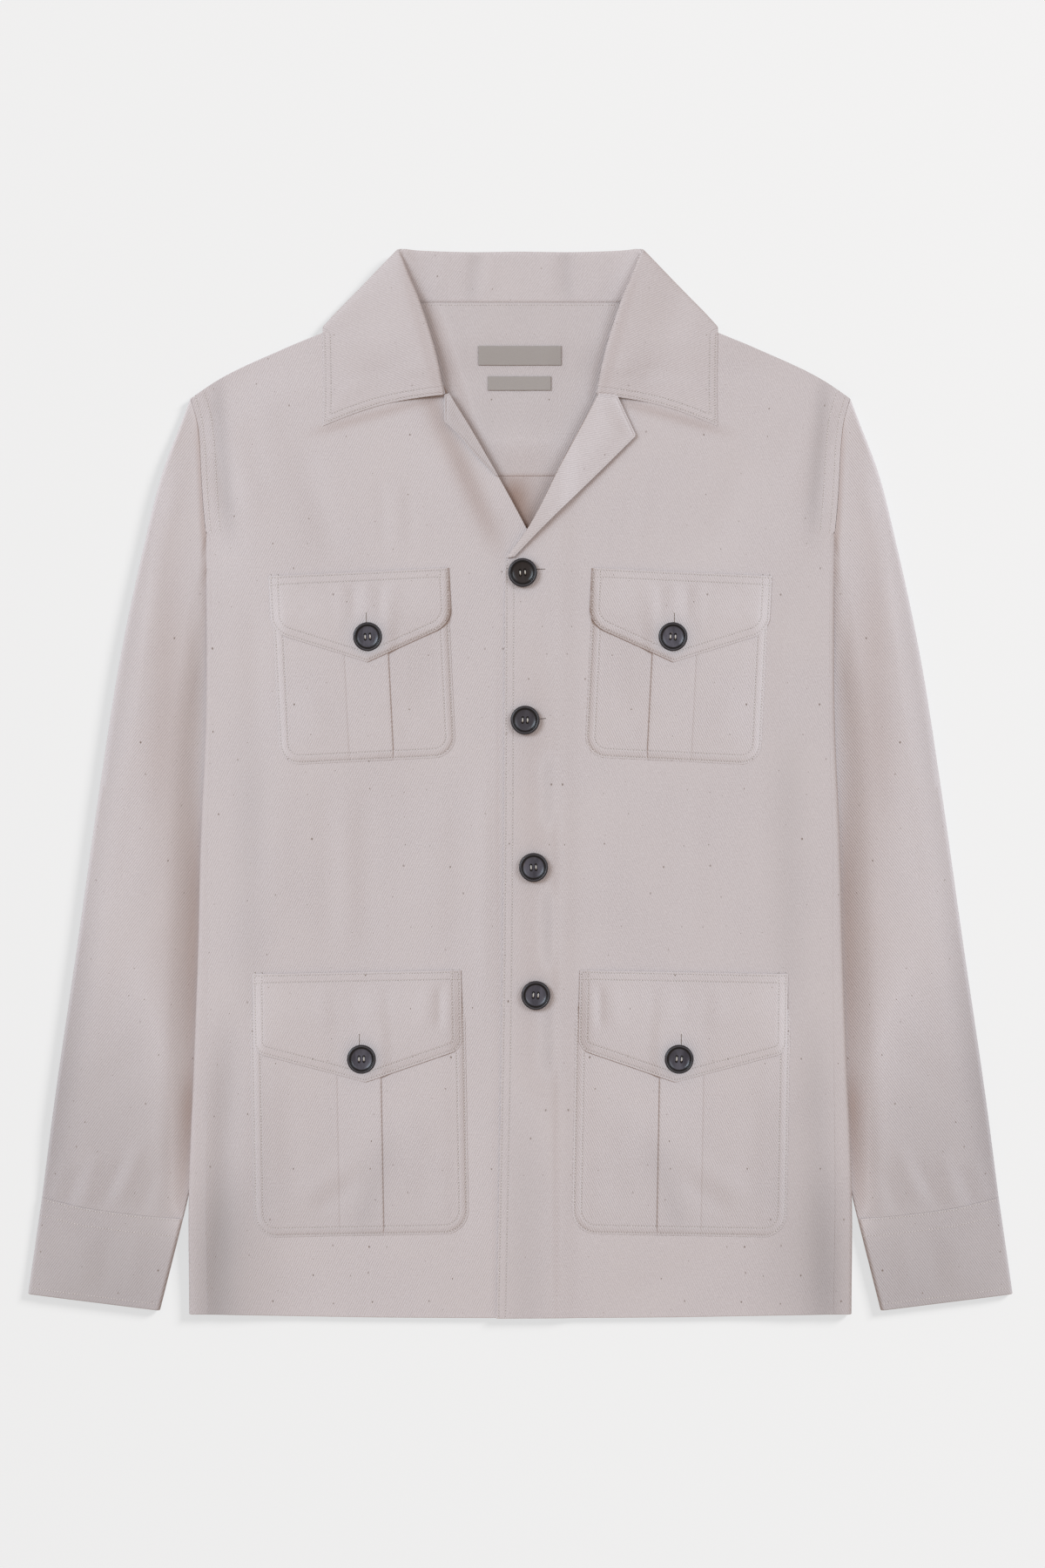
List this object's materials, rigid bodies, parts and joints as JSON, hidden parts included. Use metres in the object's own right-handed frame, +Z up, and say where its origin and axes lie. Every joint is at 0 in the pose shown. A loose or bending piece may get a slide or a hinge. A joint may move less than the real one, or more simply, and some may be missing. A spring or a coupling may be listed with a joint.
{
  "type": "utility jacket",
  "caption": "Cotton drill utility jacket laid flat with its front up: notched collar, buttoned front, long cuffed sleeves, and pleated patch pockets with pointed flaps.",
  "frame": {"origin": "middle of the jacket's box, on the surface that it lies on", "axes": "+X towards the wearer's left, +Y from the hem to the collar, +Z up from the surface"},
  "size_m": [0.7002, 0.7602, 0.0191],
  "materials": {
    "drill": "undyed cotton drill with a steep twill and a few dark seed flecks",
    "label_tape": "plain woven tape",
    "horn": "polished dark horn"
  },
  "bodies": {
    "root": {"back": "drill", "yoke": "drill", "collar": "drill", "label_neck": "label_tape", "label_care": "label_tape", "front_right": "drill", "lapel_right": "drill", "sleeve_right": "drill", "cuff_right": "drill", "pocket_chest_right": "drill", "flap_chest_right": "drill", "button_chest_right": "horn", "pocket_hip_right": "drill", "flap_hip_right": "drill", "button_hip_right": "horn", "front_left": "drill", "lapel_left": "drill", "sleeve_left": "drill", "cuff_left": "drill", "pocket_chest_left": "drill", "flap_chest_left": "drill", "button_chest_left": "horn", "pocket_hip_left": "drill", "flap_hip_left": "drill", "button_hip_left": "horn", "button_front_1": "horn", "button_front_2": "horn", "button_front_3": "horn", "button_front_4": "horn"}
  },
  "joints": []
}
